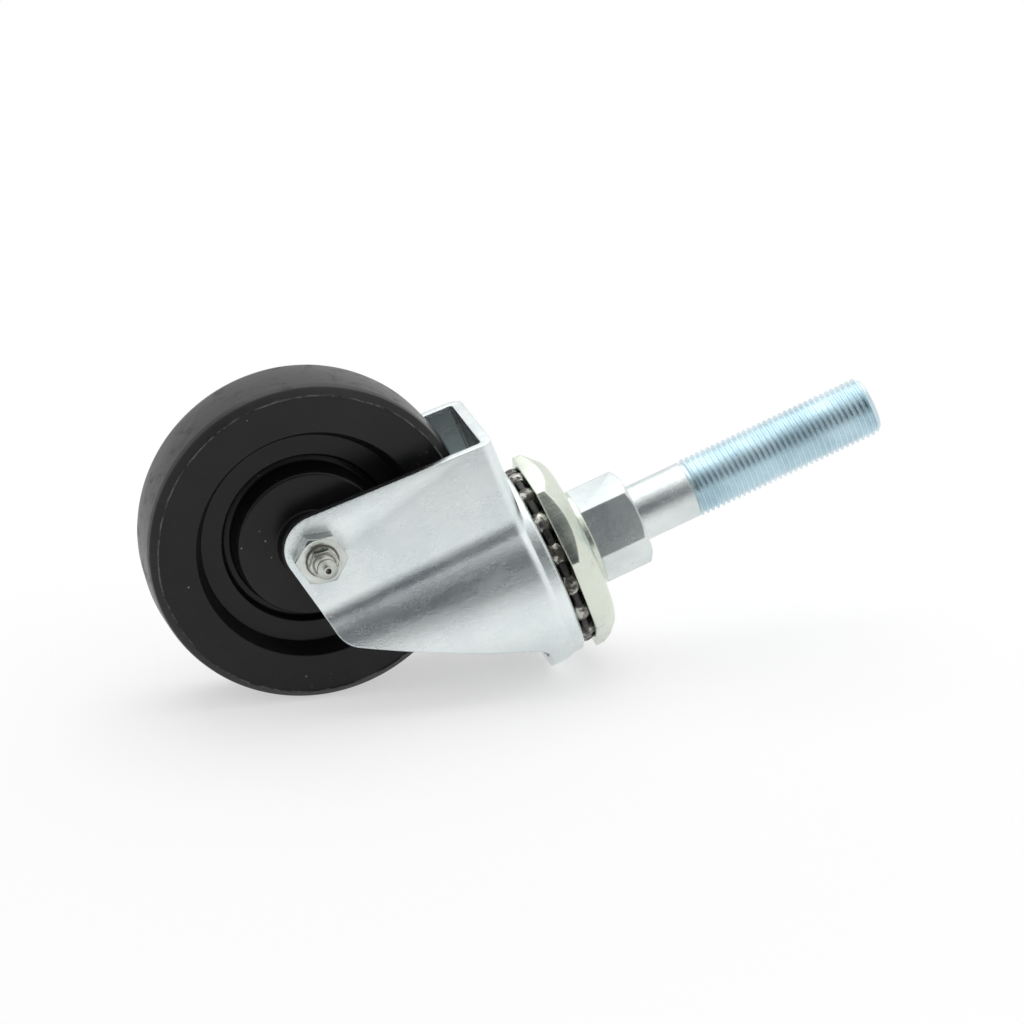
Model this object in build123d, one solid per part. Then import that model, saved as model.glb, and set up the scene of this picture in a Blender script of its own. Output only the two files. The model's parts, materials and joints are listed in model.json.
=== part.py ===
from build123d import *
import os
from math import cos, pi, radians, sin, sqrt, tan

# Levelling castor, millimetres.  +Z runs up the threaded stem, the wheel trails towards -X and the
# axle nut is on the -Y side.  The origin is on the swivel axis at the lower end of the thread.

# ---- stem: thread, shank, hexagonal collar and kingpin, turned from one bar ----
thread_diameter = 19.05
thread_length = 63.5
thread_end_chamfer = 1.6
shank_diameter = 18.2
shank_length = 19.05
collar_across_flats = 27.0
collar_height = 16.5
collar_corner_drop = 1.5          # how far the turned ends cut the corners back
kingpin_diameter = 12.7
kingpin_end_chamfer = 0.8
kingpin_tail = 2.0                # thread showing below the nut
collar_turn = 37.0                # degrees from +X to a corner of the hexagon

# ---- octagonal top race ----
race_across_flats = 60.3
race_height = 8.7
race_rim_height = 5.2             # at the middle of a flat
race_dome_blend = 6.0
race_boss_diameter = 31.0
race_boss_height = 2.55
race_turn = -13.4                 # degrees from -Y to a corner of the octagon

# ---- upper and lower ball rows ----
upper_ball_diameter = 9.525
upper_ball_count = 16
race_gap = 4.2                    # open gap between the race and the raised crown
groove_clearance = 0.1            # groove radius over ball radius
ball_side_gap = 0.12
lower_ball_diameter = 6.35
lower_ball_count = 10
lower_groove_depth = 1.0
lower_race_diameter = 29.0
lower_race_height = 4.6
lower_race_lip = 0.9              # rise of the cup's rim beside the groove
lower_race_chamfer = 1.2
lower_race_land = 0.2             # how far the groove runs under the rim
kingpin_nut_across_flats = 19.05
kingpin_nut_height = 8.0
kingpin_nut_corner_drop = 1.2
swivel_clearance = 0.08           # radial, kingpin in the crown

# ---- fork, pressed from one sheet ----
sheet = 3.18
fork_gap = 38.8                   # clear width between the flat parts of the legs
crown_diameter = 64.0             # round front part, about the swivel axis
crown_rise = 2.4                  # raised ball track over the flat of the crown
crown_rise_inset = 1.0
track_edge = 0.8                  # bevel round the top of the ball track
track_draw = 1.3                  # depth of the drawn wall's foot, in sheet thicknesses
bend_radius = 4.4                 # outside, along the edges of the crown
flare_blend = 9.0                 # where the flat leg turns out into the round front
skirt_depth = 11.5                # of the front, below the ball track
trail = 42.3                      # axle behind the swivel axis
axle_drop = 64.5                  # axle below the ball track
leg_back_top = 9.2                # trailing edge behind the axle, at the crown
leg_back_low = 13.0               # and at the foot
leg_foot_back = 12.1              # foot below the axle, at the trailing corner
leg_foot_front = 4.2              # and at the leading corner
leg_front = 28.3                  # leading corner ahead of the axle
leg_front_angle = 61.0            # degrees, slope of the leading edge
foot_back_radius = 10.5
foot_front_radius = 9.0
skirt_blend = 8.0
sheet_margin = 5.0                # sheet behind the legs, cut away by their outline

# ---- axle, nut and grease nipple ----
axle_diameter = 9.525
axle_hole_clearance = 0.05
axle_head_across_flats = 14.29
axle_head_height = 6.0
axle_head_corner_drop = 1.0
axle_head_seat_drop = 0.3
nut_across_flats = 14.29
nut_height = 5.6
nut_corner_drop = 1.0
nut_turn = 12.0                   # degrees, how the nut came to rest when tightened
axle_tail = 0.8                   # axle standing proud of the nut
grease_duct_diameter = 2.6
nipple_hex = 8.0
nipple_hex_height = 2.6
nipple_hex_corner_drop = 0.5
nipple_hex_turn = 20.0
nipple_hex_cone = 1.0             # slope from the hexagon down to the neck
nipple_thread_diameter = 6.0
nipple_thread_length = 5.0
nipple_neck_diameter = 4.6
nipple_head_diameter = 6.4
nipple_head_foot = 3.2            # below the tip, where the head leaves the neck
nipple_head_low = 2.2             # below the tip, where it is widest
nipple_head_high = 1.5            # and where it starts to close in
nipple_mouth_rim = 0.7
nipple_length = 8.6               # above the end of the axle
nipple_mouth_diameter = 1.7
nipple_bore_diameter = 2.7
nipple_ball_diameter = 2.2
nipple_spring_wire = 0.35
nipple_spring_turns = 5
bore_end_wall = 0.9               # metal over the bore at the nipple's mouth

# ---- wheel and its roller bearing ----
wheel_diameter = 101.6
wheel_width = 27.0
tread_crown = 0.5                 # how much lower the tread is at its edges
shoulder_radius = 3.2
web_outer_diameter = 71.8         # lip of the recess
web_floor_diameter = 66.8         # foot of the recess wall
web_half_width = 6.8
groove_outer_diameter = 53.6
groove_half_width = 3.6           # half of the web left under the groove
groove_inner_diameter = 47.6
hub_diameter = 45.6
hub_width = 24.6
hub_edge_radius = 1.0
boss_diameter = 20.8
boss_bore_diameter = 17.8
boss_draft = 0.4
groove_draft = 0.6
hub_end_clearance = 0.1           # each side, between hub, washer and leg
washer_diameter = 18.8
washer_thickness = 1.2
bushing_diameter = 12.7
bushing_bore_clearance = 0.06
roller_diameter = 3.0
roller_length = 19.0
roller_count = 8
roller_clearance = 0.03
sleeve_wall = 1.8
sleeve_length = 22.6
cage_length = 21.6
cage_wall = 1.6
cage_window_clearance = 0.08

# ---- heights and places that follow from the sizes above ----
collar_top = -shank_length
collar_base = collar_top - collar_height
race_top = collar_base - race_boss_height
race_base = race_top - race_height
track_top = race_base - race_gap
crown_top = track_top - crown_rise
crown_under = track_top - sheet
upper_ball_level = (race_base + track_top) / 2
upper_groove_radius = upper_ball_diameter / 2 + groove_clearance
upper_pitch_radius = (upper_ball_diameter + ball_side_gap) / 2 / sin(pi / upper_ball_count)
lower_pitch_radius = (lower_ball_diameter + ball_side_gap) / 2 / sin(pi / lower_ball_count)
lower_groove_radius = lower_ball_diameter / 2 + groove_clearance
lower_ball_level = crown_under + lower_groove_depth - lower_groove_radius
lower_race_top = lower_ball_level - lower_groove_radius + lower_groove_depth + lower_race_lip
lower_race_base = lower_race_top - lower_race_height
kingpin_nut_base = lower_race_base - kingpin_nut_height
kingpin_end = kingpin_nut_base - kingpin_tail
leg_half_gap = fork_gap / 2
leg_outer = leg_half_gap + sheet
axle_level = track_top - axle_drop
fork_back = -trail - leg_back_low - sheet_margin
hub_half_length = leg_half_gap - washer_thickness - 2 * hub_end_clearance
nut_face = leg_outer + nut_height
axle_end = nut_face + axle_tail
axle_hole_radius = axle_diameter / 2 + axle_hole_clearance
roller_pitch_radius = bushing_diameter / 2 + roller_clearance + roller_diameter / 2
sleeve_bore_radius = roller_pitch_radius + roller_diameter / 2 + roller_clearance
sleeve_outer_radius = sleeve_bore_radius + sleeve_wall

# The axle's own frame: its +Z is the castor's -Y, towards the nut.
axle_frame = Pos(-trail, 0, axle_level) * Rot(90, 0, 0)


def disc(diameter, bottom, top):
    """A cylinder about the local Z axis, from one height to another."""
    return Pos(0, 0, (bottom + top) / 2) * Cylinder(diameter / 2, top - bottom)


def prism(sides, across_flats, bottom, top, turn=0.0):
    """A regular prism about Z, with a corner at the turn angle from +X."""
    outline = RegularPolygon(across_flats / 2, sides, major_radius=False, rotation=turn)
    return Pos(0, 0, bottom) * extrude(outline, top - bottom)


def turned(points):
    """A solid of revolution about Z from a closed outline of (radius, height) points."""
    wire = Polyline(*[(radius, 0, height) for radius, height in points], close=True)
    return revolve(make_face(wire), Axis.Z)


def corner_turned(across_flats, bottom, top, drop_bottom, drop_top, sides=6):
    """The round bar that a prism's corners are turned down to at its two ends."""
    flat = across_flats / 2
    corner = flat / cos(pi / sides) + 0.2
    outline = [(0, bottom), (flat - 0.1, bottom)]
    if drop_bottom:
        outline.append((corner, bottom + drop_bottom))
    else:
        outline[-1] = (corner, bottom)
    outline.append((corner, top - drop_top))
    outline += [(flat - 0.1, top), (0, top)]
    return turned(outline)


def make_stem():
    """Thread, shank, collar and kingpin in one piece."""
    thread_radius = thread_diameter / 2
    pin_radius = kingpin_diameter / 2
    bar = turned([
        (0, kingpin_end),
        (pin_radius - kingpin_end_chamfer, kingpin_end),
        (pin_radius, kingpin_end + kingpin_end_chamfer),
        (pin_radius, collar_base),
        (shank_diameter / 2, collar_base),
        (shank_diameter / 2, 0),
        (thread_radius, 0),
        (thread_radius, thread_length - thread_end_chamfer),
        (thread_radius - thread_end_chamfer, thread_length),
        (0, thread_length),
    ])
    collar = prism(6, collar_across_flats, collar_base, collar_top, collar_turn)
    collar &= corner_turned(collar_across_flats, collar_base, collar_top, 0, collar_corner_drop)
    return bar + collar


def make_top_race():
    """Octagonal plate with a domed top, a boss under the collar and a ball groove beneath."""
    flat = race_across_flats / 2
    reach = flat / cos(pi / 8) + 1
    shoulder = flat - (race_height - race_rim_height)
    boss = race_boss_diameter / 2
    body = turned([
        (0, race_base),
        (reach, race_base),
        (reach, race_base + race_rim_height - (reach - flat)),
        (shoulder, race_top),
        (0, race_top),
    ])
    dome_edge = body.edges().filter_by(GeomType.CIRCLE).filter_by_position(
        Axis.Z, race_top - 0.01, race_top + 0.01)
    body = fillet(dome_edge, race_dome_blend)
    body &= prism(8, race_across_flats, race_base - 1, collar_base, race_turn - 90)
    body += disc(2 * boss, race_top, collar_base)
    groove = Pos(0, 0, upper_ball_level) * Torus(upper_pitch_radius, upper_groove_radius)
    return body - groove - disc(kingpin_diameter, race_base - 1, collar_base + 1)


def make_lower_race():
    """Cup washer with the lower ball groove in its upper face."""
    radius = lower_race_diameter / 2
    cup = turned([
        (kingpin_diameter / 2, lower_race_base),
        (radius - lower_race_chamfer, lower_race_base),
        (radius, lower_race_base + lower_race_chamfer),
        (radius, lower_race_top),
        (lower_pitch_radius + lower_groove_radius - lower_race_land, lower_race_top),
        (lower_pitch_radius, lower_race_top - lower_race_lip),
        (kingpin_diameter / 2, lower_race_top - lower_race_lip),
    ])
    return cup - Pos(0, 0, lower_ball_level) * Torus(lower_pitch_radius, lower_groove_radius)


def make_kingpin_nut():
    """Hexagonal nut that carries the lower race on the kingpin."""
    nut = prism(6, kingpin_nut_across_flats, kingpin_nut_base, lower_race_base)
    drop = kingpin_nut_corner_drop
    nut &= corner_turned(
        kingpin_nut_across_flats, kingpin_nut_base, lower_race_base, drop, drop)
    return nut - disc(kingpin_diameter, kingpin_nut_base - 1, lower_race_base + 1)


def make_balls(diameter, pitch_radius, level, count):
    """One row of balls about the swivel axis."""
    step = 360 / count
    spot = Pos(pitch_radius, 0, level) * Sphere(diameter / 2)
    return [Rot(0, 0, step * place) * spot for place in range(count)]


def crown_outline(inset):
    """Plan of the fork: a round front run into two straight legs, drawn in by the inset."""
    half_width = leg_outer - inset
    front = Circle(crown_diameter / 2 - inset)
    legs = Pos(fork_back / 2, 0) * Rectangle(-fork_back, 2 * half_width)
    plan = front + legs
    bends = [v for v in plan.vertices() if fork_back + 1 < v.X < 0]
    return fillet(bends, flare_blend + inset)


def cup(inset, top, blend):
    """The space under a crown outline, rounded along the top edge."""
    depth = top - (axle_level - 2 * leg_foot_back)
    body = Pos(0, 0, top) * extrude(crown_outline(inset), -depth)
    rim = [e for e in body.edges()
           if abs(e.center().Z - top) < 0.01 and e.center().X > fork_back + 0.5]
    return fillet(rim, blend)


def leg_profile():
    """Side view of the fork, all that is kept of the bent sheet, in the XZ plane."""
    top = track_top + 1
    skirt = track_top - skirt_depth
    front = crown_diameter
    rise = skirt - (axle_level - leg_foot_front)
    skirt_start = -trail + leg_front + rise / tan(radians(leg_front_angle))
    corners = [
        (-trail - leg_back_top, top),
        (-trail - leg_back_low, axle_level - leg_foot_back),
        (-trail + leg_front, axle_level - leg_foot_front),
        (skirt_start, skirt),
        (front, skirt),
        (front, top),
    ]
    rounds = [0, foot_back_radius, foot_front_radius, skirt_blend, 0, 0]
    outline = FilletPolyline(*[(x, 0, z) for x, z in corners], radius=rounds, close=True)
    return make_face(outline)


def make_fork():
    """Crown, raised ball track, skirt and two flared legs, pressed from one sheet."""
    shell = cup(0, crown_top, bend_radius) - cup(sheet, crown_top - sheet, bend_radius - sheet)
    track_radius = crown_diameter / 2 - crown_rise_inset
    shell -= disc(2 * (track_radius - sheet), crown_top - 2 * sheet, track_top + 1)
    track = turned([
        (0, crown_under),
        (track_radius - 2 * sheet, crown_under),
        (track_radius - sheet, crown_top - track_draw * sheet),
        (track_radius, crown_top - sheet),
        (track_radius, track_top - track_edge),
        (track_radius - track_edge, track_top),
        (0, track_top),
    ])
    bulge = Pos(0, 0, upper_ball_level) * Torus(upper_pitch_radius, upper_groove_radius + sheet)
    bulge &= disc(crown_diameter - sheet, crown_under - 2 * upper_groove_radius, track_top - 1)
    body = shell + track + bulge
    body -= Pos(0, 0, upper_ball_level) * Torus(upper_pitch_radius, upper_groove_radius)
    body -= Pos(0, 0, lower_ball_level) * Torus(lower_pitch_radius, lower_groove_radius)
    body -= disc(kingpin_diameter + 2 * swivel_clearance, crown_under - 9, track_top + 1)
    body &= Pos(0, crown_diameter, 0) * extrude(leg_profile(), 2 * crown_diameter, dir=(0, -1, 0))
    return body - axle_frame * disc(2 * axle_hole_radius, -leg_outer - 1, leg_outer + 1)


def make_axle():
    """Bolt from the far side, drilled along and across for grease."""
    far_face = -leg_outer
    head = prism(6, axle_head_across_flats, far_face - axle_head_height, far_face)
    head &= corner_turned(
        axle_head_across_flats, far_face - axle_head_height, far_face,
        axle_head_corner_drop, axle_head_seat_drop)
    bolt = head + disc(axle_diameter, far_face, axle_end)
    bolt -= disc(nipple_thread_diameter, axle_end - nipple_thread_length, axle_end + 1)
    bolt -= disc(grease_duct_diameter, -grease_duct_diameter, axle_end)
    duct = Rot(90, 0, 0) * Cylinder(grease_duct_diameter / 2, axle_diameter + 2)
    return axle_frame * (bolt - duct)


def make_axle_nut():
    """Thin hexagonal nut on the near leg."""
    nut = prism(6, nut_across_flats, leg_outer, nut_face, nut_turn)
    nut &= corner_turned(nut_across_flats, leg_outer, nut_face, 0, nut_corner_drop)
    return axle_frame * (nut - disc(axle_diameter, leg_outer - 1, nut_face + 1))


def make_nipple():
    """Grease nipple: threaded shank, hexagon, neck and rounded head, bored for its ball."""
    head_radius = nipple_head_diameter / 2
    neck_radius = nipple_neck_diameter / 2
    tip = axle_end + nipple_length
    shank_end = axle_end - nipple_thread_length
    body = turned([
        (0, shank_end),
        (nipple_thread_diameter / 2, shank_end),
        (nipple_thread_diameter / 2, axle_end),
        (nipple_hex / 2 - 0.4, axle_end),
        (nipple_hex / 2 - 0.4, axle_end + nipple_hex_height),
        (neck_radius, axle_end + nipple_hex_height + nipple_hex_cone),
        (neck_radius, tip - nipple_head_foot),
        (head_radius, tip - nipple_head_low),
        (head_radius, tip - nipple_head_high),
        (nipple_mouth_diameter / 2 + nipple_mouth_rim, tip),
        (0, tip),
    ])
    hex_top = axle_end + nipple_hex_height
    hexagon = prism(6, nipple_hex, axle_end, hex_top, nipple_hex_turn)
    hexagon &= corner_turned(nipple_hex, axle_end, hex_top, 0, nipple_hex_corner_drop)
    bore_top = tip - bore_end_wall
    body = body + hexagon - disc(nipple_bore_diameter, shank_end + 1.0, bore_top)
    body -= disc(nipple_mouth_diameter, bore_top - 0.5, tip + 1)
    return axle_frame * (body - disc(grease_duct_diameter / 2, shank_end - 1, shank_end + 2))


def nipple_ball_level():
    """Where the check ball closes the mouth, along the axle."""
    ball = nipple_ball_diameter / 2
    mouth = nipple_mouth_diameter / 2
    return axle_end + nipple_length - bore_end_wall - sqrt(ball ** 2 - mouth ** 2) - 0.02


def make_nipple_ball():
    """Check ball behind the nipple's mouth."""
    return axle_frame * Pos(0, 0, nipple_ball_level()) * Sphere(nipple_ball_diameter / 2)


def make_nipple_spring():
    """Helical spring from the bottom of the nipple's bore to the check ball."""
    coil_radius = nipple_bore_diameter / 2 - nipple_spring_wire
    foot = axle_end - nipple_thread_length + 1.0 + nipple_spring_wire / 2 + 0.02
    contact = nipple_ball_diameter / 2 + nipple_spring_wire / 2
    crest = nipple_ball_level() - sqrt(contact ** 2 - coil_radius ** 2) - 0.03
    path = Helix(pitch=(crest - foot) / nipple_spring_turns, height=crest - foot, radius=coil_radius)
    section = Plane(origin=path @ 0, z_dir=path % 0) * Circle(nipple_spring_wire / 2)
    return axle_frame * Pos(0, 0, foot) * sweep(section, path=path, is_frenet=True)


def make_bushing():
    """Plain steel sleeve clamped between the legs, drilled for grease."""
    bore = axle_diameter + 2 * bushing_bore_clearance
    tube = disc(bushing_diameter, -leg_half_gap, leg_half_gap)
    tube -= disc(bore, -leg_half_gap - 1, leg_half_gap + 1)
    duct = Rot(90, 0, 0) * Cylinder(grease_duct_diameter / 2, bushing_diameter + 2)
    return axle_frame * (tube - duct)


def make_washer(side):
    """Thrust washer between a hub end and a leg; side is +1 at the nut and -1 at the head."""
    inner = leg_half_gap - hub_end_clearance - washer_thickness
    outer = leg_half_gap - hub_end_clearance
    low, high = (inner, outer) if side > 0 else (-outer, -inner)
    bore = bushing_diameter + 2 * bushing_bore_clearance
    return axle_frame * (disc(washer_diameter, low, high) - disc(bore, low - 1, high + 1))


def wheel_half_outline():
    """Half section of the wheel from its middle to one side, as (radius, height) points."""
    half = wheel_width / 2
    return [
        (boss_bore_diameter / 2, hub_half_length),
        (boss_diameter / 2, hub_half_length),
        (boss_diameter / 2 + boss_draft, hub_width / 2),
        (hub_diameter / 2, hub_width / 2),
        (groove_inner_diameter / 2, groove_half_width),
        (groove_outer_diameter / 2 - groove_draft, groove_half_width),
        (groove_outer_diameter / 2, web_half_width),
        (web_floor_diameter / 2, web_half_width),
        (web_outer_diameter / 2, half),
        (wheel_diameter / 2 - tread_crown, half),
    ]


def make_wheel():
    """Moulded hard-rubber wheel with a recessed web, a hub and a bearing pocket."""
    half = wheel_half_outline()
    near = [(radius, 0, height) for radius, height in half]
    far = [(radius, 0, -height) for radius, height in reversed(half)]
    tread = ThreePointArc(near[-1], (wheel_diameter / 2, 0, 0), far[0])
    edges = Polyline(*near) + tread + Polyline(*far) + Line(far[-1], near[0])
    body = revolve(make_face(edges), Axis.Z)
    shoulders = [e for e in body.edges().filter_by(GeomType.CIRCLE)
                 if e.radius > wheel_diameter / 2 - tread_crown - 0.01]
    body = fillet(shoulders, shoulder_radius)
    hub_edges = [e for e in body.edges().filter_by(GeomType.CIRCLE)
                 if abs(e.radius - hub_diameter / 2) < 0.01]
    body = fillet(hub_edges, hub_edge_radius)
    pocket = disc(2 * sleeve_outer_radius, -sleeve_length / 2, sleeve_length / 2)
    return axle_frame * (body - pocket)


def make_sleeve():
    """Hardened outer race, moulded into the hub."""
    tube = disc(2 * sleeve_outer_radius, -sleeve_length / 2, sleeve_length / 2)
    return axle_frame * (tube - disc(2 * sleeve_bore_radius, -sleeve_length, sleeve_length))


def make_cage():
    """Roller cage: a thin tube with one window for each roller."""
    outer = roller_pitch_radius + cage_wall / 2
    inner = roller_pitch_radius - cage_wall / 2
    tube = disc(2 * outer, -cage_length / 2, cage_length / 2)
    tube -= disc(2 * inner, -cage_length, cage_length)
    gap = roller_diameter + 2 * cage_window_clearance
    window = Pos(roller_pitch_radius, 0, 0) * Box(
        2 * cage_wall, gap, roller_length + 2 * cage_window_clearance)
    for place in range(roller_count):
        tube -= Rot(0, 0, place * 360 / roller_count) * window
    return axle_frame * tube


def make_rollers():
    """The bearing rollers in their cage."""
    step = 360 / roller_count
    roller = Pos(roller_pitch_radius, 0, 0) * Cylinder(roller_diameter / 2, roller_length)
    return [axle_frame * Rot(0, 0, place * step) * roller for place in range(roller_count)]


def numbered(name, solids):
    """Node names for a run of like pieces."""
    return {f"{name}_{place:02d}": solid for place, solid in enumerate(solids, 1)}


nodes = {
    "threaded_stem": make_stem(),
    "top_race": make_top_race(),
    "lower_race": make_lower_race(),
    "kingpin_nut": make_kingpin_nut(),
    **numbered("upper_ball", make_balls(
        upper_ball_diameter, upper_pitch_radius, upper_ball_level, upper_ball_count)),
    **numbered("lower_ball", make_balls(
        lower_ball_diameter, lower_pitch_radius, lower_ball_level, lower_ball_count)),
    "fork": make_fork(),
    "axle_bolt": make_axle(),
    "axle_nut": make_axle_nut(),
    "grease_nipple": make_nipple(),
    "nipple_ball": make_nipple_ball(),
    "nipple_spring": make_nipple_spring(),
    "spanner_bushing": make_bushing(),
    "thrust_washer_near": make_washer(+1),
    "thrust_washer_far": make_washer(-1),
    "wheel": make_wheel(),
    "bearing_sleeve": make_sleeve(),
    "roller_cage": make_cage(),
    **numbered("bearing_roller", make_rollers()),
}

os.makedirs("parts", exist_ok=True)
for name, solid in nodes.items():
    export_step(solid, f"parts/{name}.step")
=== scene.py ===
"""Dresses the levelling castor: plated steel, greased ball swivel and moulded rubber wheel.

Every length is in metres, in the castor's own frame: +Z up the threaded stem, the wheel trailing
towards -X and the axle nut on the -Y side.
"""
import json
import logging
import math
from contextlib import contextmanager
from dataclasses import dataclass, field
from enum import Enum
from typing import Iterator, Sequence

import bpy
from mathutils import Matrix, Vector

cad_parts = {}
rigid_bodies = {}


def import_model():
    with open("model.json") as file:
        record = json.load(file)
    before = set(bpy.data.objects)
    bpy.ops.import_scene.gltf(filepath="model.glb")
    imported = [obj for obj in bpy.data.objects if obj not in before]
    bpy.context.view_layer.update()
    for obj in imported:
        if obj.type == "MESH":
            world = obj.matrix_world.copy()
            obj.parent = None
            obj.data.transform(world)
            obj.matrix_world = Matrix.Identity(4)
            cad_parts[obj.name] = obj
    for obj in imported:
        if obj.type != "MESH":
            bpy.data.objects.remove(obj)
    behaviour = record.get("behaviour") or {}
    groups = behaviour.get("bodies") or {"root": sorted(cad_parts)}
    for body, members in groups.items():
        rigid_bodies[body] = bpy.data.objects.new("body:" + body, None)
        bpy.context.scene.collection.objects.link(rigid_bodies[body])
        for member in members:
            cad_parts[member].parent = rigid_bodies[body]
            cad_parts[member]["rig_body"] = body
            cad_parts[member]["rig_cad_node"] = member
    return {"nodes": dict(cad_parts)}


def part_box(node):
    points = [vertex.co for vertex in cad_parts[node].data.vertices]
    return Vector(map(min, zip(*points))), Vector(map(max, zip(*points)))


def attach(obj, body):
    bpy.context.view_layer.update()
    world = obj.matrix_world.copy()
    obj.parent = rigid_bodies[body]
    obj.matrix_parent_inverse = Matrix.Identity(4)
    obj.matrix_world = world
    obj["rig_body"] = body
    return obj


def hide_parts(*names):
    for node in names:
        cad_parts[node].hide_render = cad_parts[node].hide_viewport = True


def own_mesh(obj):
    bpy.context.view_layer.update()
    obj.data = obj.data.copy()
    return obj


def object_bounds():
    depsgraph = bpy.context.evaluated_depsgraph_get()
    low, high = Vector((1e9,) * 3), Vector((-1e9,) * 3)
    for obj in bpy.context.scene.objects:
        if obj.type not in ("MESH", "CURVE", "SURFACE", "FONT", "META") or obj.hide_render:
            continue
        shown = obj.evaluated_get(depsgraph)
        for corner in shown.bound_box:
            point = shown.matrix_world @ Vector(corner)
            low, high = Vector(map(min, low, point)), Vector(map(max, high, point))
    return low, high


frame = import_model()
cad_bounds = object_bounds()

logging.basicConfig(level=logging.INFO, format="%(name)s: %(message)s")
log = logging.getLogger("castor")

Colour = tuple[float, float, float]
Point = tuple[float, float]
MM = 0.001
MERGE_GAP = 2e-6
WELD_GAP = 4e-6
CUT_MARGIN = 1e-5
CUT_TOLERANCE = 1e-7
FLAT_DEGREES = 0.6


# ---------------------------------------------------------------------------------------------
# Shader arithmetic
# ---------------------------------------------------------------------------------------------

class Value:
    """A number-carrying shader socket that takes part in Python arithmetic."""

    def __init__(self, graph: "Graph", socket: bpy.types.NodeSocket) -> None:
        """Wraps one output socket of a graph."""
        self.graph = graph
        self.socket = socket

    def _math(self, operation: str, first: object, second: object, clamp: bool = False) -> "Value":
        """Adds a Math node for two operands and returns its result."""
        settings = {"operation": operation, "use_clamp": clamp}
        return self.graph.value("ShaderNodeMath", settings, {0: first, 1: second})

    def __add__(self, other: object) -> "Value":
        """Sum."""
        return self._math("ADD", self, other)

    def __sub__(self, other: object) -> "Value":
        """Difference."""
        return self._math("SUBTRACT", self, other)

    def __rsub__(self, other: object) -> "Value":
        """Difference, with this value taken away."""
        return self._math("SUBTRACT", other, self)

    def __mul__(self, other: object) -> "Value":
        """Product."""
        return self._math("MULTIPLY", self, other)

    def __pow__(self, other: object) -> "Value":
        """Power."""
        return self._math("POWER", self, other)

    __radd__ = __add__
    __rmul__ = __mul__

    def clamped(self) -> "Value":
        """This value held between 0 and 1."""
        return self._math("ADD", self, 0.0, clamp=True)

    def band(self, low: float, high: float) -> "Value":
        """A smooth step from 0 at low to 1 at high; low may be the larger.

        Args:
            low: Where the step is 0.
            high: Where the step is 1.

        Returns:
            The step, from 0 to 1.
        """
        settings = {"interpolation_type": "SMOOTHSTEP"}
        if low > high:
            return 1.0 - self.band(high, low)
        return self.graph.value("ShaderNodeMapRange", settings, {0: self, 1: low, 2: high})

    def most(self, other: object) -> "Value":
        """The larger of two values."""
        return self._math("MAXIMUM", self, other)


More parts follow.
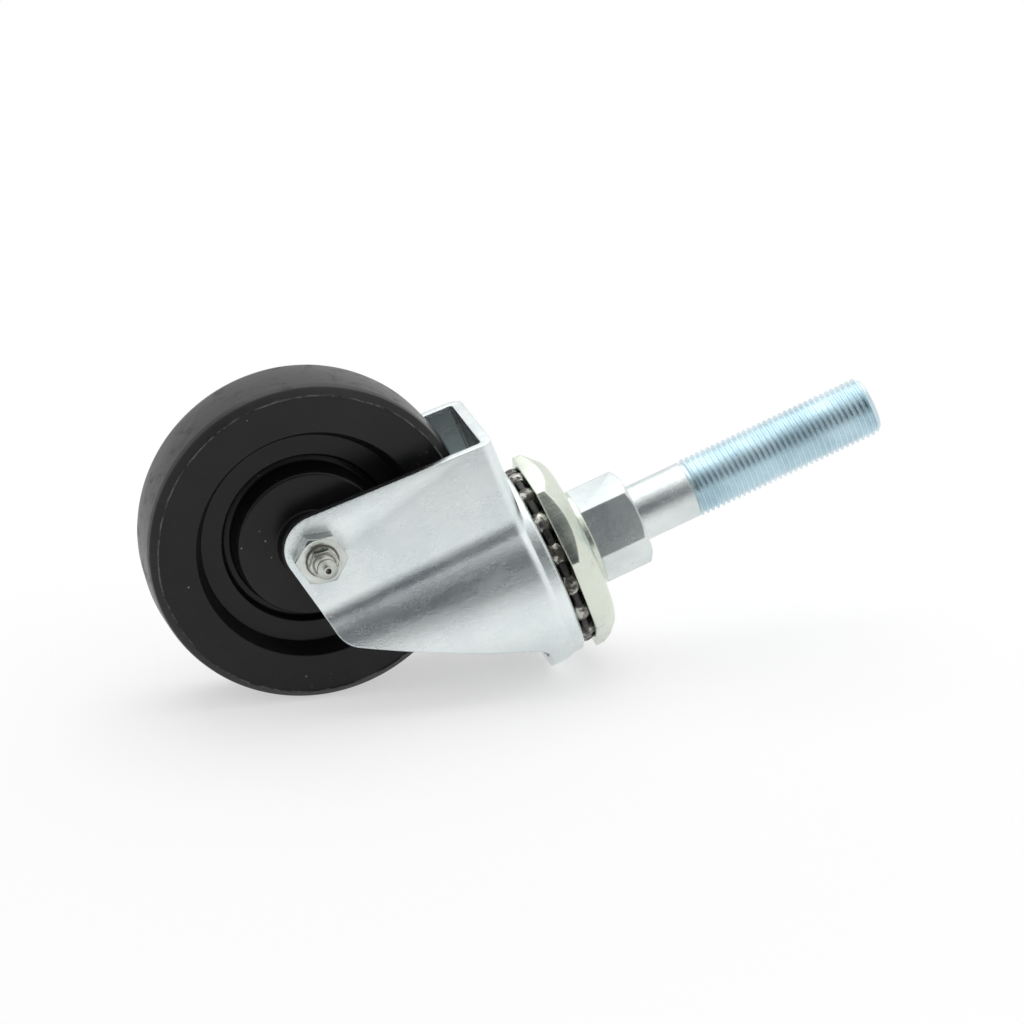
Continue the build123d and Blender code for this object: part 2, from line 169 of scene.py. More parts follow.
class Graph:
    """The node tree of one material or world."""

    def __init__(self, tree: bpy.types.NodeTree) -> None:
        """Empties the tree.

        Args:
            tree: The node tree to build in.
        """
        self.tree = tree
        tree.nodes.clear()

    def node(self, kind: str, settings: dict | None = None,
             sockets: dict | None = None) -> bpy.types.Node:
        """Adds a node.

        Args:
            kind: The node's type.
            settings: Properties, set before the sockets.
            sockets: Values or links, keyed by input name or place.

        Returns:
            The new node.
        """
        made = self.tree.nodes.new(kind)
        for key, setting in (settings or {}).items():
            setattr(made, key, setting)
        for key, given in (sockets or {}).items():
            if isinstance(given, Value):
                given = given.socket
            if isinstance(given, bpy.types.NodeSocket):
                self.tree.links.new(given, made.inputs[key])
            elif isinstance(given, tuple) and len(given) == 3 and made.inputs[key].type == "RGBA":
                made.inputs[key].default_value = (*given, 1.0)
            else:
                made.inputs[key].default_value = given
        return made

    def value(self, kind: str, settings: dict | None = None,
              sockets: dict | None = None) -> Value:
        """Adds a node and wraps its first output."""
        return Value(self, self.node(kind, settings, sockets).outputs[0])

    def place(self) -> bpy.types.NodeSocket:
        """The point being shaded, in Object coordinates."""
        return self.node("ShaderNodeTexCoord").outputs["Object"]

    def moved(self, shift: Vector, scale: Sequence[float] = (1, 1, 1),
              turn: Sequence[float] = (0, 0, 0)) -> bpy.types.NodeSocket:
        """Object coordinates measured from a point, then turned and scaled.

        Args:
            shift: The point to measure from.
            scale: Factors along the three axes.
            turn: Angles about the three axes.

        Returns:
            The changed coordinates.
        """
        start = self.node("ShaderNodeVectorMath", {"operation": "SUBTRACT"},
                          {0: self.place(), 1: tuple(shift)})
        mapping = self.node("ShaderNodeMapping", {"vector_type": "POINT"}, {
            "Vector": start.outputs[0], "Rotation": tuple(turn), "Scale": tuple(scale)})
        return mapping.outputs[0]

    def noise(self, scale: float, detail: float = 3.0, rough: float = 0.5,
              vector: bpy.types.NodeSocket | None = None, distortion: float = 0.0) -> Value:
        """Fractal noise from 0 to 1."""
        return self.value("ShaderNodeTexNoise", None, {
            "Vector": vector or self.place(), "Scale": scale, "Detail": detail,
            "Roughness": rough, "Distortion": distortion})

    def cells(self, scale: float) -> Value:
        """Distance to the nearest point of an uneven grid."""
        return self.value("ShaderNodeTexVoronoi", {"feature": "F1"}, {
            "Vector": self.place(), "Scale": scale, "Randomness": 1.0})

    def split(self, vector: bpy.types.NodeSocket) -> tuple[Value, Value, Value]:
        """The three parts of a vector."""
        parts = self.node("ShaderNodeSeparateXYZ", None, {0: vector})
        return tuple(Value(self, out) for out in parts.outputs)

    def mix(self, factor: object, first: object, second: object) -> bpy.types.NodeSocket:
        """A blend of two colours."""
        made = self.node("ShaderNodeMix", {"data_type": "RGBA"}, {0: factor, 6: first, 7: second})
        return made.outputs[2]

    def bump(self, height: Value, depth: float, strength: float = 1.0,
             under: bpy.types.NodeSocket | None = None) -> bpy.types.NodeSocket:
        """A Bump node, optionally over another one.

        Args:
            height: The relief.
            depth: Its depth at full height, in metres.
            strength: How far it turns the surface.
            under: The bump that it lies on.

        Returns:
            The bumped normal.
        """
        sockets = {"Height": height, "Distance": depth, "Strength": strength}
        if under is not None:
            sockets["Normal"] = under
        return self.node("ShaderNodeBump", None, sockets).outputs[0]

    def finish(self, shader: bpy.types.NodeSocket, output: str = "ShaderNodeOutputMaterial") -> None:
        """Wires a shader to the tree's output."""
        self.node(output, None, {"Surface": shader})


def material_graph(name: str) -> tuple[bpy.types.Material, Graph]:
    """A new material and its emptied node tree.

    Args:
        name: The material's name.

    Returns:
        The material and its graph.
    """
    made = bpy.data.materials.new(name)
    made.use_nodes = True
    return made, Graph(made.node_tree)


# ---------------------------------------------------------------------------------------------
# Finishes
# ---------------------------------------------------------------------------------------------

@dataclass(frozen=True)
class ZincPlate:
    """Bright zinc on steel, with a passivate tint, fine crystal grain, smears and grime, and
    optional dark rings at the joints round a centre that are partly grease and partly painted
    occlusion shade.
    """

    name: str
    tint: Colour
    shade: Colour
    roughness: float = 0.26
    grain: float = 1.0
    eased: float = 0.5 * MM
    grime: float = 0.3
    seam_centre: Vector | None = None
    grease_and_shade_seams: tuple[float, ...] = ()

    def build(self) -> bpy.types.Material:
        """Makes the material.

        Returns:
            The finished material.
        """
        made, g = material_graph(self.name)
        clouds = g.noise(55, 4, 0.6)
        smears = g.noise(140, 5, 0.62, g.moved(Vector((0, 0, 0)), (1, 1, 0.35)))
        grains = g.noise(3000, 3, 0.75)
        crystals = g.cells(900)
        colour = g.mix(clouds.band(0.35, 0.7), self.tint, self.shade)
        spots = g.noise(420, 3, 0.6).band(0.66, 0.76)
        dirt_and_seam_shade = g.noise(90, 6, 0.7).band(0.62, 0.8) * self.grime + spots * (0.5 * self.grime)
        # Optional dark rings round seam_centre at the seam radii: partly grease in the joints,
        # partly painted occlusion shade between the parts.
        if self.seam_centre is not None:
            x, along, z = g.split(g.moved(self.seam_centre))
            radius = (x * x + z * z) ** 0.5 + (g.noise(900, 3, 0.6) - 0.5) * 0.0006
            for seam in self.grease_and_shade_seams:
                ring = radius.band(seam - 0.0005, seam - 0.0001)
                ring = ring * radius.band(seam + 0.0005, seam + 0.0001)
                dirt_and_seam_shade = dirt_and_seam_shade.most(ring * along.band(0.02, 0.01) * 1.6)
        # This dark colour covers both the random dirt and the seam rings, so it is partly dirt and
        # partly painted shade.
        colour = g.mix(dirt_and_seam_shade.clamped(), colour, (0.30, 0.29, 0.26))
        rough = smears.band(0.3, 0.8) * 0.14 + grains * 0.10 + (self.roughness - 0.10)
        rough = rough + dirt_and_seam_shade * 0.25
        corner = g.node("ShaderNodeBevel", {"samples": 4}, {"Radius": self.eased}).outputs[0]
        normal = g.bump(grains * self.grain, 0.00004, 0.75, corner)
        normal = g.bump(crystals, 0.00003, 0.3, normal)
        normal = g.bump(clouds, 0.0003, 0.06, normal)
        shader = g.node("ShaderNodeBsdfPrincipled", None, {
            "Base Color": colour, "Metallic": 1.0, "Roughness": rough.clamped(), "Normal": normal})
        g.finish(shader.outputs[0])
        return made


@dataclass(frozen=True)
class GreasedSteel:
    """Dark steel under a film of old grease."""

    name: str
    colour: Colour = (0.20, 0.19, 0.16)
    film: float = 0.6

    def build(self) -> bpy.types.Material:
        """Makes the material.

        Returns:
            The finished material.
        """
        made, g = material_graph(self.name)
        film = g.noise(160, 4, 0.6).band(0.35, 0.7) * self.film
        colour = g.mix(film, self.colour, (0.045, 0.04, 0.032))
        metal = 1.0 - film * 0.7
        normal = g.bump(g.noise(420, 3, 0.6), 0.0001, 0.35)
        shader = g.node("ShaderNodeBsdfPrincipled", None, {
            "Base Color": colour, "Metallic": metal, "Roughness": film * 0.15 + 0.24,
            "Normal": normal})
        g.finish(shader.outputs[0])
        return made


@dataclass(frozen=True)
class BallSteel:
    """Polished hardened steel, smeared with grease here and there."""

    name: str = "ball_steel"

    def build(self) -> bpy.types.Material:
        """Makes the material.

        Returns:
            The finished material.
        """
        made, g = material_graph(self.name)
        film = g.noise(330, 3, 0.6).band(0.36, 0.56)
        colour = g.mix(film, (0.50, 0.49, 0.45), (0.05, 0.045, 0.035))
        shader = g.node("ShaderNodeBsdfPrincipled", None, {
            "Base Color": colour, "Metallic": 1.0 - film * 0.6, "Roughness": film * 0.22 + 0.10})
        g.finish(shader.outputs[0])
        return made


@dataclass(frozen=True)
class Grease:
    """Old black grease, glossy and lumpy."""

    name: str = "swivel_grease"

    def build(self) -> bpy.types.Material:
        """Makes the material.

        Returns:
            The finished material.
        """
        made, g = material_graph(self.name)
        lumps = g.noise(700, 4, 0.6)
        colour = g.mix(lumps.band(0.5, 0.75), (0.008, 0.008, 0.007), (0.035, 0.03, 0.02))
        shader = g.node("ShaderNodeBsdfPrincipled", None, {
            "Base Color": colour, "Roughness": lumps * 0.25 + 0.22,
            "Normal": g.bump(lumps, 0.0004, 0.8)})
        g.finish(shader.outputs[0])
        return made


@dataclass(frozen=True)
class MouldedRubber:
    """Black hard rubber: faint bloom, rubbed side face, dust specks, nicks and a rust smear, and a
    pale arc along the mould lip that is partly mould flash and partly a painted highlight.

    The patterns are laid round the wheel's own axle, so they turn with it.
    """

    name: str
    centre: Vector
    outer_radius: float
    lip_radius: float

    def build(self) -> bpy.types.Material:
        """Makes the material.

        Returns:
            The finished material.
        """
        made, g = material_graph(self.name)
        local = g.moved(self.centre)
        x, y, z = g.split(local)
        radius = (x * x + z * z) ** 0.5
        clouds = g.noise(38, 5, 0.6)
        fine = g.noise(900, 3, 0.6)
        colour = g.mix(clouds.band(0.3, 0.75), (0.0060, 0.0060, 0.0066), (0.0135, 0.0132, 0.0132))
        rub = radius.band(self.lip_radius, self.outer_radius) * g.noise(120, 6, 0.7).band(0.5, 0.72)
        colour = g.mix(rub * 0.5, colour, (0.026, 0.0255, 0.025))
        # A pale, broken arc along the mould lip: partly mould flash, partly a painted highlight
        # where the shoulder catches the light.
        wander = g.noise(60, 4, 0.7) * 0.0012 + (self.outer_radius - 0.0038)
        offset = radius - wander
        flash_and_highlight = offset.band(-0.0004, 0.0) * offset.band(0.0004, 0.0)
        flash_and_highlight = flash_and_highlight * g.noise(130, 5, 0.75).band(0.40, 0.62)
        colour = g.mix(flash_and_highlight * 0.8, colour, (0.17, 0.168, 0.16))
        scratch_space = g.moved(self.centre, (1, 1, 5), (0, math.radians(38), 0))
        scratches = g.noise(210, 6, 0.72, scratch_space, 0.6).band(0.64, 0.72)
        far_out = radius.band(self.lip_radius - 0.002, self.lip_radius + 0.002)
        colour = g.mix((scratches * far_out * 0.5).clamped(), colour, (0.12, 0.12, 0.115))
        specks = g.cells(240).band(0.10, 0.05) * g.noise(60, 2, 0.5).band(0.52, 0.66)
        colour = g.mix(specks * 0.7, colour, (0.32, 0.31, 0.29))
        rust_spot = g.node("ShaderNodeVectorMath", {"operation": "DISTANCE"},
                           {0: local, 1: (0.0065, -0.0125, 0.0205)}).outputs["Value"]
        rust = Value(g, rust_spot).band(0.006, 0.001) * g.noise(700, 4, 0.7).band(0.4, 0.6)
        colour = g.mix(rust * 0.8, colour, (0.17, 0.085, 0.05))
        rough = clouds * 0.14 + 0.27 + rub * 0.22 + scratches * 0.12 + specks * 0.3
        normal = g.bump(fine, 0.00006, 0.35)
        normal = g.bump(clouds, 0.0009, 0.35, normal)
        normal = g.bump(scratches * far_out, 0.00012, 0.6, normal)
        shader = g.node("ShaderNodeBsdfPrincipled", None, {
            "Base Color": colour, "Roughness": rough.clamped(), "Normal": normal,
            "Specular IOR Level": 0.28})
        g.finish(shader.outputs[0])
        return made


@dataclass(frozen=True)
class StudioFloor:
    """White sweep that keeps the soft shadow, fades to white and can't be seen from below."""

    centre: Vector
    fade_from: float = 0.12
    fade_to: float = 0.38
    name: str = "studio_floor"

    def build(self) -> bpy.types.Material:
        """Makes the material.

        Returns:
            The finished material.
        """
        made, g = material_graph(self.name)
        ray = g.node("ShaderNodeLightPath")
        seen = Value(g, ray.outputs["Is Camera Ray"]).most(Value(g, ray.outputs["Is Glossy Ray"]))
        seen = seen.most(Value(g, ray.outputs["Is Transmission Ray"]))
        lit = g.node("ShaderNodeBsdfDiffuse", None, {"Color": (0.55, 0.55, 0.55)})
        glow = g.node("ShaderNodeEmission", None, {"Color": (1, 1, 1), "Strength": 0.52})
        bright = g.node("ShaderNodeAddShader", None, {0: lit.outputs[0], 1: glow.outputs[0]})
        away = g.node("ShaderNodeVectorMath", {"operation": "DISTANCE"},
                      {0: g.place(), 1: tuple(self.centre)}).outputs["Value"]
        white = g.node("ShaderNodeEmission", None, {"Color": (1, 1, 1), "Strength": 1.0})
        bright = g.node("ShaderNodeMixShader", None, {
            0: Value(g, away).band(self.fade_from, self.fade_to), 1: bright.outputs[0],
            2: white.outputs[0]})
        plain = g.node("ShaderNodeBsdfDiffuse", None, {"Color": (0.9, 0.9, 0.9)})
        front = g.node("ShaderNodeMixShader", None, {0: seen, 1: plain.outputs[0],
                                                     2: bright.outputs[0]})
        clear = g.node("ShaderNodeBsdfTransparent")
        back = g.node("ShaderNodeNewGeometry").outputs["Backfacing"]
        both = g.node("ShaderNodeMixShader", None, {0: back, 1: front.outputs[0],
                                                    2: clear.outputs[0]})
        g.finish(both.outputs[0])
        return made


# ---------------------------------------------------------------------------------------------
# Modelling helpers
# ---------------------------------------------------------------------------------------------

def deselect() -> None:
    """Clears the selection."""
    bpy.ops.object.select_all(action="DESELECT")


def activate(piece: bpy.types.Object) -> bpy.types.Object:
    """Makes a piece the only selected and active one.

    Args:
        piece: The piece to select.

    Returns:
        The same piece.
    """
    deselect()
    piece.select_set(True)
    bpy.context.view_layer.objects.active = piece
    return piece


@contextmanager
def editing(piece: bpy.types.Object) -> Iterator[None]:
    """Edit mode on one piece, with all of it selected.

    Args:
        piece: The piece to edit.
    """
    activate(piece)
    bpy.ops.object.mode_set(mode="EDIT")
    bpy.ops.mesh.select_all(action="SELECT")
    yield
    bpy.ops.object.mode_set(mode="OBJECT")


def settle(piece: bpy.types.Object) -> bpy.types.Object:
    """Applies a piece's place, turn and size to its mesh.

    Args:
        piece: The piece to settle.

    Returns:
        The same piece.
    """
    activate(piece)
    bpy.ops.object.transform_apply(location=True, rotation=True, scale=True)
    return piece


def apply_modifier(piece: bpy.types.Object, kind: str, **settings: object) -> None:
    """Adds a modifier with its settings and applies it.

    Args:
        piece: The piece to change.
        kind: The modifier's type.
        **settings: The modifier's properties.
    """
    activate(piece)
    added = piece.modifiers.new(kind.lower(), kind)
    for key, setting in settings.items():
        setattr(added, key, setting)
    bpy.ops.object.modifier_apply(modifier=added.name)


def smooth(piece: bpy.types.Object, degrees: float = 32.0) -> None:
    """Smooth shading that breaks at edges sharper than an angle."""
    activate(piece)
    bpy.ops.object.shade_smooth_by_angle(angle=math.radians(degrees))


def dress(piece: bpy.types.Object, finish: bpy.types.Material) -> None:
    """Gives a piece one material."""
    piece.data.materials.clear()
    piece.data.materials.append(finish)


def rounded(corners: Sequence[tuple[float, float, float]], steps: int = 6) -> list[Point]:
    """Rounds the corners of an open outline.

    Args:
        corners: (radius, height, rounding) of each corner.
        steps: Segments in each rounding.

    Returns:
        The points of the rounded outline.
    """
    points: list[Point] = []
    last = len(corners) - 1
    for place, (across, along, rounding) in enumerate(corners):
        here = Vector((across, along))
        if rounding <= 0 or place in (0, last):
            points.append((across, along))
            continue
        back = (Vector(corners[place - 1][:2]) - here).normalized()
        ahead = (Vector(corners[place + 1][:2]) - here).normalized()
        half = back.angle(ahead) / 2
        centre = here + (back + ahead).normalized() * (rounding / math.sin(half))
        start = here + back * (rounding / math.tan(half)) - centre
        sweep = start.angle_signed(here + ahead * (rounding / math.tan(half)) - centre)
        for step in range(steps + 1):
            turned = Matrix.Rotation(-sweep * step / steps, 2) @ start
            points.append(tuple(centre + turned))
    return points


def traced(name: str, points: Sequence[Point]) -> bpy.types.Object:
    """An edge chain in the XZ plane, drawn by extruding one vertex from point to point.

    Args:
        name: The piece's name.
        points: (radius, height) of each point.

    Returns:
        The new piece, not yet closed or spun.
    """
    deselect()
    bpy.ops.mesh.primitive_plane_add(size=0.001, location=(0, 0, 0))
    piece = bpy.context.object
    piece.name = name
    piece.data.name = name
    with editing(piece):
        bpy.ops.mesh.merge(type="CENTER")
        bpy.ops.transform.translate(value=(points[0][0], 0, points[0][1]))
        for before, after in zip(points, points[1:]):
            step = (after[0] - before[0], 0, after[1] - before[1])
            bpy.ops.mesh.extrude_region_move(TRANSFORM_OT_translate={"value": step})
    return piece


def lathed(name: str, points: Sequence[Point], steps: int) -> bpy.types.Object:
    """A ring turned about the local Z axis.

    Args:
        name: The piece's name.
        points: (radius, height) points of the section.
        steps: Segments round the axis.

    Returns:
        The turned piece.
    """
    piece = traced(name, [*points, points[0]])
    with editing(piece):
        bpy.ops.mesh.spin(steps=steps, angle=math.tau, center=(0, 0, 0), axis=(0, 0, 1))
        bpy.ops.mesh.select_all(action="SELECT")
        bpy.ops.mesh.remove_doubles(threshold=MERGE_GAP)
        bpy.ops.mesh.normals_make_consistent(inside=False)
    return piece


def laid_on_axle(piece: bpy.types.Object, centre: Vector) -> bpy.types.Object:
    """Turns a lathed piece so that its +Z is the castor's -Y, and moves it to the axle.

    Args:
        piece: The lathed piece.
        centre: The middle of the axle.

    Returns:
        The same piece.
    """
    piece.rotation_euler = (math.radians(90), 0, 0)
    piece.location = centre
    return settle(piece)


def refined(node: str, name: str, edge: float, segments: int = 3,
            angle: float = 30.0) -> bpy.types.Object:
    """A copy of a construction solid with its sharp edges eased.

    Args:
        node: The solid's name in the frame.
        name: The new piece's name.
        edge: Width of the eased edges.
        segments: Faces across each eased edge.
        angle: Sharpest angle, in degrees, that counts as smooth.

    Returns:
        The new piece, in place of the solid.
    """
    source = frame["nodes"][node]
    activate(source)
    bpy.ops.object.duplicate()
    piece = bpy.context.object
    piece.parent = None
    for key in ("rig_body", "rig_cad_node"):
        if key in piece:
            del piece[key]
    piece.name = name
    piece.data.name = name
    with editing(piece):
        bpy.ops.mesh.remove_doubles(threshold=WELD_GAP)
        bpy.ops.mesh.dissolve_limited(angle_limit=math.radians(FLAT_DEGREES))
    if edge > 0:
        apply_modifier(piece, "BEVEL", width=edge, segments=segments, limit_method="ANGLE",
                       angle_limit=math.radians(angle), miter_outer="MITER_ARC",
                       harden_normals=False, use_clamp_overlap=True)
    smooth(piece, angle)
    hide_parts(node)
    return piece


class Body(Enum):
    """The moving bodies of the castor."""

    STEM = "stem"
    UPPER_BALLS = "upper_ball_ring"
    FORK = "fork"
    WHEEL = "wheel"


def ride(piece: bpy.types.Object, body: Body) -> None:
    """Hands a finished piece to its body, and reports it.

    Args:
        piece: The finished piece.
        body: The body that carries it.
    """
    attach(piece, body.value)
    log.info("%s rides on %s, %d faces", piece.name, body.value, len(piece.data.polygons))


# ---------------------------------------------------------------------------------------------
# Sub-assemblies
# ---------------------------------------------------------------------------------------------

@dataclass
class Stem:
    """Threaded stem, shank and collar in bright plate, and the octagonal race under them."""

    pitch: float = 1.814 * MM
    crest_radius: float = 9.525 * MM
    depth: float = 1.02 * MM
    end_chamfer: float = 1.6 * MM
    lead_in: float = 0.9 * MM
    steps: int = 60
    tint: Colour = (0.70, 0.83, 0.88)
    collar_edge: float = 0.55 * MM
    race_edge: float = 0.5 * MM
    length: float = field(init=False)

    def __post_init__(self) -> None:
        """Takes the thread's length from the frame."""
        self.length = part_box("threaded_stem")[1].z

    def thread(self) -> bpy.types.Object:
        """Cuts the helical thread as one screwed section, trimmed and chamfered at its ends.

        Returns:
            The thread.
        """
        root = self.crest_radius - self.depth
        flat = self.pitch / 8
        flank = self.pitch / 2 - flat
        section = [
            (root, 0), (root, flat / 2), (self.crest_radius, flat / 2 + flank),
            (self.crest_radius, flat * 1.5 + flank), (root, self.pitch - flat / 2),
            (root, self.pitch)]
        turns = math.ceil(self.length / self.pitch) + 2
        piece = traced("stem_thread", section)
        apply_modifier(piece, "SCREW", axis="Z", angle=math.tau, screw_offset=self.pitch,
                       iterations=turns, steps=self.steps, render_steps=self.steps)
        with editing(piece):
            bpy.ops.mesh.remove_doubles(threshold=MERGE_GAP)
            bpy.ops.mesh.normals_make_consistent(inside=False)
        piece.location = (0, 0, -self.pitch)
        settle(piece)
        for height, clear_outer in ((self.length - CUT_MARGIN, True), (-CUT_MARGIN, False)):
            with editing(piece):
                bpy.ops.mesh.bisect(plane_co=(0, 0, height), plane_no=(0, 0, 1), use_fill=True,
                                    clear_outer=clear_outer, clear_inner=not clear_outer,
                                    threshold=CUT_TOLERANCE)
        for vertex in piece.data.vertices:
            radial = Vector((vertex.co.x, vertex.co.y, 0))
            limit = self.crest_radius + min(0.0, self.length - self.end_chamfer - vertex.co.z)
            limit = min(limit, self.crest_radius - self.lead_in + max(0.0, vertex.co.z))
            if radial.length > limit:
                vertex.co -= radial * (1 - limit / radial.length)
        smooth(piece, 40)
        return piece

    def core(self) -> bpy.types.Object:
        """Shank, collar and kingpin, taken from the solid and cut off under the thread.

        Returns:
            The stem below its thread.
        """
        piece = refined("threaded_stem", "stem_shank", 0)
        with editing(piece):
            bpy.ops.mesh.bisect(plane_co=(0, 0, -CUT_MARGIN), plane_no=(0, 0, 1), use_fill=True,
                                clear_outer=True, threshold=CUT_TOLERANCE)
        apply_modifier(piece, "BEVEL", width=self.collar_edge, segments=4, limit_method="ANGLE",
                       angle_limit=math.radians(25), use_clamp_overlap=True,
                       miter_outer="MITER_ARC")
        smooth(piece, 30)
        return piece

    def build(self) -> None:
        """Makes and dresses the stem and the race."""
        plate = ZincPlate("stem_zinc", self.tint, (0.56, 0.70, 0.76), roughness=0.32, grain=0.6,
                          eased=0.12 * MM, grime=0.15).build()
        collar_plate = ZincPlate("collar_zinc", (0.76, 0.81, 0.80), (0.63, 0.69, 0.69),
                                 roughness=0.25, grain=3.2, eased=0.8 * MM, grime=0.35).build()
        race_plate = ZincPlate("race_zinc", (0.71, 0.75, 0.66), (0.58, 0.63, 0.55),
                               roughness=0.24, grain=0.9, eased=0.7 * MM, grime=0.35).build()
        thread = self.thread()
        dress(thread, plate)
        ride(thread, Body.STEM)
        core = self.core()
        dress(core, collar_plate)
        ride(core, Body.STEM)
        race = refined("top_race", "race_plate", self.race_edge)
        dress(race, race_plate)
        ride(race, Body.STEM)
        greased = GreasedSteel("greased_steel").build()
        for node in ("lower_race", "kingpin_nut"):
            dress(frame["nodes"][node], greased)


@dataclass
class Swivel:
    """The two ball rows and the grease round the upper one."""

    grease_radius: float = 28.7 * MM
    grease_bead: float = 1.7 * MM
    lump_height: float = 0.7 * MM
    lump_scale: float = 3 * MM

    def build(self) -> None:
        """Dresses the balls and lays the grease."""
        steel = BallSteel().build()
        for name, node in frame["nodes"].items():
            if name.startswith(("upper_ball_", "lower_ball_")):
                dress(node, steel)
        low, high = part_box("upper_ball_01")
        deselect()
        bpy.ops.mesh.primitive_torus_add(
            location=(0, 0, (low.z + high.z) / 2), major_segments=240, minor_segments=20,
            major_radius=self.grease_radius - self.grease_bead, minor_radius=self.grease_bead)
        bead = bpy.context.object
        bead.name = "swivel_grease"
        settle(bead)
        lumps = bpy.data.textures.new("grease_lumps", "CLOUDS")
        lumps.noise_scale = self.lump_scale
        apply_modifier(bead, "DISPLACE", texture=lumps, strength=self.lump_height)
        bpy.data.textures.remove(lumps)
        smooth(bead, 60)
        dress(bead, Grease().build())
        ride(bead, Body.UPPER_BALLS)


@dataclass
class Fork:
    """Pressed fork, axle, nut and grease nipple."""

    edge: float = 0.45 * MM
    ball_travel: float = 0.9 * MM

    def build(self) -> None:
        """Makes and dresses the fork and what it holds."""
        sheet = ZincPlate("fork_zinc", (0.83, 0.88, 0.88), (0.73, 0.80, 0.81), roughness=0.25,
                          grain=3.0, eased=0.6 * MM, grime=0.2).build()
        low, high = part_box("axle_nut")
        # The two seam radii give dark rings between nut, bolt and nipple: partly grease, partly
        # painted occlusion shade.
        bright = ZincPlate("axle_zinc", (0.70, 0.74, 0.72), (0.48, 0.50, 0.46), roughness=0.18,
                           grain=1.2, eased=0.35 * MM, grime=0.55, seam_centre=(low + high) / 2,
                           grease_and_shade_seams=(3.4 * MM, 4.9 * MM)).build()
        fork = refined("fork", "fork_sheet", self.edge)
        dress(fork, sheet)
        ride(fork, Body.FORK)
        for node, name, edge, slot in (
                ("axle_bolt", "axle_shaft", 0.25 * MM, "bright_zinc"),
                ("axle_nut", "axle_lock_nut", 0.3 * MM, "bright_zinc"),
                ("grease_nipple", "nipple_body", 0.18 * MM, "nipple_plating")):
            piece = refined(node, name, edge)
            dress(piece, bright)
            ride(piece, Body.FORK)
        greased = GreasedSteel("hub_steel", (0.36, 0.35, 0.31), 0.4).build()
        steel = BallSteel("nipple_steel").build()
        for node in ("spanner_bushing", "thrust_washer_near", "thrust_washer_far"):
            dress(frame["nodes"][node], greased)
        dress(frame["nodes"]["nipple_ball"], steel)
        self.check_spring(steel)

    def check_spring(self, steel: bpy.types.Material) -> None:
        """Copies and dresses the nipple's spring and gives it a mesh of its own.

        Args:
            steel: The spring's material.
        """
        spring = refined("nipple_spring", "check_spring", 0)
        dress(spring, steel)
        ride(spring, Body.FORK)
        low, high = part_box("nipple_spring")
        seat = (low + high) / 2
        seat.y = high.y
        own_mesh(spring)


@dataclass
class Wheel:
    """Moulded rubber wheel and the roller bearing in its hub."""

    half_width: float = 13.5 * MM
    hub_half_length: float = 18.0 * MM
    bore_radius: float = 8.9 * MM
    pocket_radius: float = 11.2 * MM
    pocket_half_length: float = 11.3 * MM
    lip_radius: float = 35.9 * MM
    steps: int = 240
    centre: Vector = field(init=False)
    radius: float = field(init=False)

    def __post_init__(self) -> None:
        """Takes the wheel's centre and radius from the frame."""
        low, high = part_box("wheel")
        self.centre = (low + high) / 2
        self.radius = (high.z - low.z) / 2

    def side(self) -> list[Point]:
        """Half section from the bore out to the middle of the tread.

        Returns:
            (radius, height) points.
        """
        half = self.half_width
        edge = self.radius - 0.5 * MM
        corners = [
            (self.bore_radius / MM, self.hub_half_length / MM, 0),
            (10.4, self.hub_half_length / MM, 0.6),
            (10.8, 12.3, 0.5), (22.8, 12.3, 1.1), (23.8, 3.6, 0.8), (26.2, 3.6, 0.8),
            (26.8, 6.8, 0.5), (33.4, 6.8, 0.6), (self.lip_radius / MM, half / MM, 0.45),
            (edge / MM - 3.1, half / MM, 0.2), (edge / MM - 2.9, half / MM + 0.18, 0.12),
            (edge / MM - 2.5, half / MM + 0.10, 0.15), (edge / MM - 0.4, half / MM - 1.9, 1.6),
            (edge / MM, half / MM - 4.0, 1.0), (self.radius / MM, 0, 0)]
        return [(across * MM, along * MM) for across, along in rounded(corners)]

    def moulding(self) -> bpy.types.Object:
        """Spins the whole section, with the pocket for the bearing's outer race.

        Returns:
            The wheel.
        """
        near = self.side()
        far = [(across, -along) for across, along in reversed(near[:-1])]
        deep = self.pocket_half_length
        pocket = [(self.bore_radius, -deep), (self.pocket_radius, -deep),
                  (self.pocket_radius, deep), (self.bore_radius, deep)]
        piece = lathed("wheel_moulding", [*near, *far, *pocket], self.steps)
        laid_on_axle(piece, self.centre)
        smooth(piece, 35)
        return piece

    def build(self) -> None:
        """Makes and dresses the wheel and its bearing."""
        rubber = MouldedRubber("hard_rubber", self.centre, self.radius,
                               self.lip_radius).build()
        wheel = self.moulding()
        dress(wheel, rubber)
        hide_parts("wheel")
        ride(wheel, Body.WHEEL)
        greased = GreasedSteel("bearing_steel", (0.34, 0.33, 0.30), 0.5).build()
        steel = BallSteel("roller_steel").build()
        for name, node in frame["nodes"].items():
            if name.startswith("bearing_roller_"):
                dress(node, steel)
        for node in ("bearing_sleeve", "roller_cage"):
            dress(frame["nodes"][node], greased)


# ---------------------------------------------------------------------------------------------
# Studio
# ---------------------------------------------------------------------------------------------

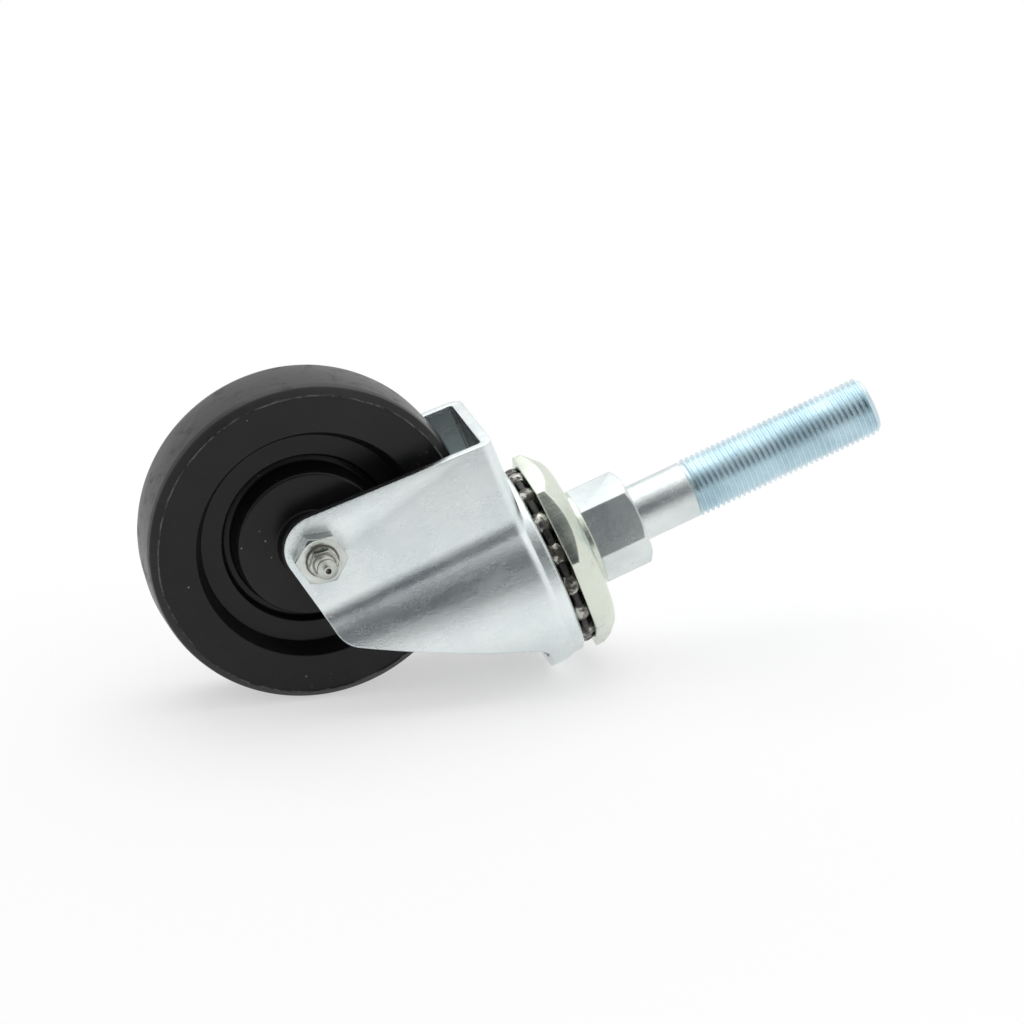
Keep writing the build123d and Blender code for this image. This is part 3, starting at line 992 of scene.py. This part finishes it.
@dataclass
class Studio:
    """Camera, floor, lamps and surroundings, set by the way the castor lies on its side.

    The castor lies on its tread and on the leading corner of the fork's skirt, so the floor's
    plane follows from those two places.
    """

    camera_place: Vector = field(default_factory=lambda: Vector((-0.5032, -1.1400, -0.1680)))
    camera_right: Vector = field(default_factory=lambda: Vector((0.3586, -0.2425, 0.9014)))
    camera_down: Vector = field(default_factory=lambda: Vector((0.8483, -0.3184, -0.4231)))
    focal_length: float = 140.6
    sensor: float = 36.0
    floor_size: float = 6.0
    skirt_drop: float = 8.8 * MM
    floor_normal: Vector = field(init=False)
    floor_point: Vector = field(init=False)

    def __post_init__(self) -> None:
        """Finds the plane that touches the tread and the fork's leading corner."""
        low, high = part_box("wheel")
        centre = (low + high) / 2
        radius = (high.z - low.z) / 2
        fork_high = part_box("fork")[1]
        corner = Vector((fork_high.x, 0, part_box("upper_ball_01")[0].z - self.skirt_drop))
        reach = corner - centre
        lean = math.atan2(-reach.z, -reach.x) - math.acos(radius / reach.length)
        self.floor_normal = Vector((math.cos(lean), 0, math.sin(lean)))
        self.floor_point = centre - self.floor_normal * radius

    def floor(self) -> None:
        """Lays the floor."""
        deselect()
        bpy.ops.mesh.primitive_grid_add(x_subdivisions=8, y_subdivisions=8, size=self.floor_size)
        floor = bpy.context.object
        floor.name = "studio_floor"
        floor.rotation_mode = "QUATERNION"
        floor.rotation_quaternion = self.floor_normal.to_track_quat("Z", "Y")
        floor.location = self.floor_point
        settle(floor)
        dress(floor, StudioFloor(self.floor_point).build())

    def lamp(self, name: str, direction: Vector, distance: float, size: float,
             power: float) -> None:
        """A soft square lamp that looks at the castor from a direction.

        Args:
            name: The lamp's name.
            direction: The way to the lamp from the castor.
            distance: How far off it stands.
            size: Its side.
            power: Its power, in watts.
        """
        aim = (Vector(cad_bounds[0]) + Vector(cad_bounds[1])) / 2
        data = bpy.data.lights.new(name, "AREA")
        data.size = size
        data.energy = power
        lamp = bpy.data.objects.new(name, data)
        lamp.location = aim + direction.normalized() * distance
        lamp.rotation_mode = "QUATERNION"
        lamp.rotation_quaternion = direction.to_track_quat("Z", "Y")
        bpy.context.scene.collection.objects.link(lamp)

    def surroundings(self) -> None:
        """A white room with a dark side behind the camera, which plated metal mirrors."""
        world = bpy.data.worlds.new("white_room")
        bpy.context.scene.world = world
        world.use_nodes = True
        g = Graph(world.node_tree)
        ray = g.node("ShaderNodeLightPath")
        mirrored = Value(g, ray.outputs["Is Glossy Ray"])
        seen = Value(g, ray.outputs["Is Camera Ray"]).most(
            Value(g, ray.outputs["Is Transmission Ray"]))
        direction = g.node("ShaderNodeTexCoord").outputs["Generated"]
        toward = -self.camera_right.cross(self.camera_down)
        facing = g.node("ShaderNodeVectorMath", {"operation": "DOT_PRODUCT"},
                        {0: direction, 1: tuple(toward.normalized())}).outputs["Value"]
        dark = Value(g, facing).band(0.70, 0.88)
        room = g.mix(dark, (0.98, 0.98, 0.98), (0.07, 0.075, 0.085))
        plain = g.mix(mirrored, (0.60, 0.60, 0.60), room)
        colour = g.mix(seen, plain, (1.0, 1.0, 1.0))
        shader = g.node("ShaderNodeBackground", None, {"Color": colour, "Strength": 1.0})
        g.finish(shader.outputs[0], "ShaderNodeOutputWorld")

    def camera(self) -> None:
        """Sets the camera square to its stored right and down directions."""
        data = bpy.data.cameras.new("camera")
        data.lens = self.focal_length
        data.sensor_width = self.sensor
        data.clip_end = 20
        camera = bpy.data.objects.new("camera", data)
        right = self.camera_right.normalized()
        up = -(self.camera_down - right * self.camera_down.dot(right)).normalized()
        back = right.cross(up)
        turn = Matrix((right, up, back)).transposed()
        camera.matrix_world = Matrix.Translation(self.camera_place) @ turn.to_4x4()
        bpy.context.scene.collection.objects.link(camera)
        bpy.context.scene.camera = camera

    def build(self) -> None:
        """Sets up the whole studio."""
        bpy.context.scene.view_settings.view_transform = "Standard"
        self.floor()
        back = -self.camera_right.cross(self.camera_down)
        self.lamp("top_soft", self.floor_normal - back * 0.35, 1.1, 1.3, 5.5)
        self.surroundings()
        self.camera()


def main() -> None:
    """Builds every sub-assembly in order."""
    Stem().build()
    Swivel().build()
    Fork().build()
    Wheel().build()
    Studio().build()
    log.info("sizes written")


if __name__ == "__main__":
    main()
